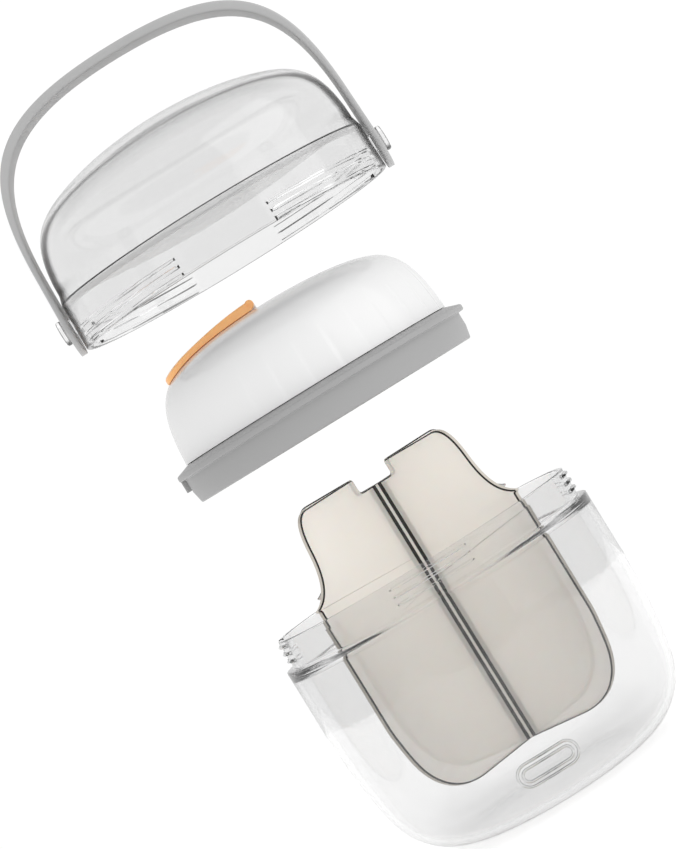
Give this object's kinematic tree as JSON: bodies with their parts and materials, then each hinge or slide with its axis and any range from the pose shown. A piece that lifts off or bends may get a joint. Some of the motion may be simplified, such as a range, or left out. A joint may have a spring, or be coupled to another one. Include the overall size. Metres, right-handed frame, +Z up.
{
  "type": "formula dispenser",
  "caption": "Round clear tub with a crossed divider, a turning domed pouring cap with a hinged flap, and a clear screw lid with a swinging carry handle, laid out exploded.",
  "frame": {"origin": "middle of the tub's flat underside", "axes": "+Z up along the column, -Y to the front, where the raised oval is; +X to the side away from the pouring hole"},
  "size_m": [0.1414, 0.1304, 0.3227],
  "materials": {
    "clear_plastic": "clear moulded polypropylene or copolyester, polished",
    "divider_plastic": "translucent warm white polypropylene, fine satin",
    "grey_plastic": "mid grey moulded polypropylene, satin",
    "white_plastic": "white moulded ABS, gloss",
    "liner_plastic": "white moulded polypropylene, semi gloss",
    "orange_plastic": "orange moulded polypropylene, semi gloss",
    "flap_silicone": "pale soft silicone, matte",
    "lid_silicone": "translucent silicone, matte",
    "handle_plastic": "light grey moulded polypropylene, satin"
  },
  "bodies": {
    "tub": {"outer_body": "clear_plastic"},
    "divider": {"divider": "divider_plastic"},
    "cap_base": {"cap_base_ring": "grey_plastic"},
    "cap_top": {"cap_dome": "white_plastic", "cap_retaining_ring": "grey_plastic", "selector_liner": "liner_plastic", "spout_chute": "liner_plastic", "flap_hinge_pin": "liner_plastic"},
    "flap": {"spout_flap": "orange_plastic", "flap_seal": "flap_silicone"},
    "lid_seal": {"lid_seal": "lid_silicone"},
    "lid": {"lid_dome": "clear_plastic", "pivot_button_left": "clear_plastic", "pivot_button_right": "clear_plastic"},
    "handle": {"handle": "handle_plastic"}
  },
  "joints": [
    {"name": "divider_lift", "type": "slide", "parent": "tub", "child": "divider", "axis": [0, 0, 1], "range_m": [-0.0178, 0]},
    {"name": "cap_lift", "type": "slide", "parent": "divider", "child": "cap_base", "axis": [0, 0, 1], "range_m": [-0.0511, 0]},
    {"name": "cap_turn", "type": "hinge", "parent": "cap_base", "child": "cap_top", "pos_m": [0, 0, 0.1746], "axis": [0, 0, 1], "continuous": true},
    {"name": "flap_hinge", "type": "hinge", "parent": "cap_top", "child": "flap", "pos_m": [-0.0052, 0, 0.2135], "axis": [0, 1, 0], "range_deg": [0, 105]},
    {"name": "lid_lift", "type": "slide", "parent": "cap_base", "child": "lid_seal", "axis": [0, 0, 1], "range_m": [-0.0716, 0]},
    {"name": "lid_turn", "type": "hinge", "parent": "lid_seal", "child": "lid", "pos_m": [0, 0, 0.231], "axis": [0, 0, 1], "range_deg": [-45, 0]},
    {"name": "handle_swing", "type": "hinge", "parent": "lid", "child": "handle", "pos_m": [0, 0, 0.241], "axis": [1, 0, 0], "range_deg": [-95, 95]}
  ]
}
